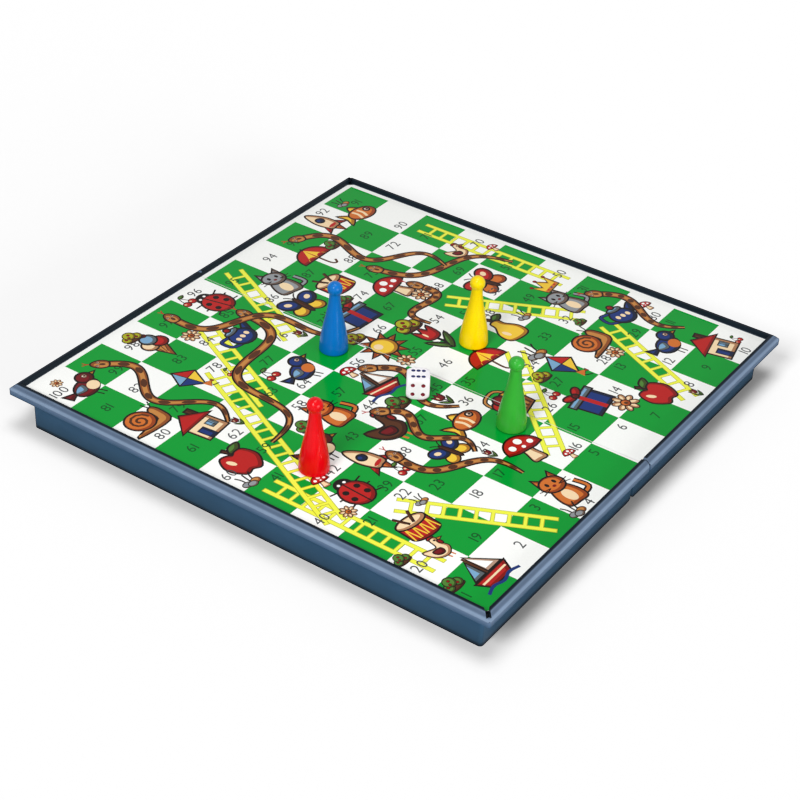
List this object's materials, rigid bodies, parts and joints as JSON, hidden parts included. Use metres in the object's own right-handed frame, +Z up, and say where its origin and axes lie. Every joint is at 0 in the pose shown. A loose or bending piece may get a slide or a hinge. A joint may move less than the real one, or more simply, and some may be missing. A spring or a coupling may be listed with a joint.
{
  "type": "snakes and ladders board",
  "caption": "Folding magnetic snakes and ladders board: two hinged plastic trays with a printed top of numbered squares, with coloured pawns and a die",
  "frame": {"origin": "middle of the open board, on the plane of its rims, which lie on the table", "axes": "+Z up out of the print; Y along the fold, with -Y the reader's side; X across the fold"},
  "size_m": [0.2516, 0.2516, 0.0569],
  "materials": {
    "case_plastic": "satin slate blue moulding",
    "print": "printed and gloss laminated film",
    "steel": "thin rolled sheet",
    "link_plastic": "dark satin moulding",
    "pin_steel": "drawn wire",
    "magnet": "sintered ferrite",
    "die_plastic": "white with painted pips",
    "red_plastic": "glossy moulding",
    "blue_plastic": "glossy moulding",
    "yellow_plastic": "glossy moulding",
    "green_plastic": "glossy moulding"
  },
  "bodies": {
    "left_half": {"left_tray": "case_plastic", "left_steel_sheet": "steel", "left_print_sheet": "print", "front_left_pin": "pin_steel", "rear_left_pin": "pin_steel"},
    "hinge_links": {"front_hinge_link": "link_plastic", "rear_hinge_link": "link_plastic"},
    "right_half": {"right_tray": "case_plastic", "right_steel_sheet": "steel", "right_print_sheet": "print", "front_right_pin": "pin_steel", "rear_right_pin": "pin_steel"},
    "red_piece": {"red_pawn": "red_plastic", "red_pawn_magnet": "magnet"},
    "blue_piece": {"blue_pawn": "blue_plastic", "blue_pawn_magnet": "magnet"},
    "yellow_piece": {"yellow_pawn": "yellow_plastic", "yellow_pawn_magnet": "magnet"},
    "green_piece": {"green_pawn": "green_plastic", "green_pawn_magnet": "magnet"},
    "die_piece": {"die": "die_plastic"}
  },
  "joints": [
    {"name": "link_swing", "type": "hinge", "parent": "left_half", "child": "hinge_links", "pos_m": [-0.003, 0, 0.00285], "axis": [0, 1, 0], "range_deg": [0, 90]},
    {"name": "half_fold", "type": "hinge", "parent": "hinge_links", "child": "right_half", "pos_m": [0.003, 0, 0.00285], "axis": [0, 1, 0], "range_deg": [0, 90]},
    {"name": "red_lift", "type": "slide", "parent": "left_half", "child": "red_piece", "axis": [0, 0, 1], "range_m": [0, 0.06]},
    {"name": "blue_lift", "type": "slide", "parent": "left_half", "child": "blue_piece", "axis": [0, 0, 1], "range_m": [0, 0.06]},
    {"name": "yellow_lift", "type": "slide", "parent": "right_half", "child": "yellow_piece", "axis": [0, 0, 1], "range_m": [0, 0.06]},
    {"name": "green_lift", "type": "slide", "parent": "left_half", "child": "green_piece", "axis": [0, 0, 1], "range_m": [0, 0.06]},
    {"name": "die_lift", "type": "slide", "parent": "left_half", "child": "die_piece", "axis": [0, 0, 1], "range_m": [0, 0.06]}
  ],
  "couplings": [
    {"joint": "half_fold", "follows": "link_swing", "ratio": 1}
  ]
}
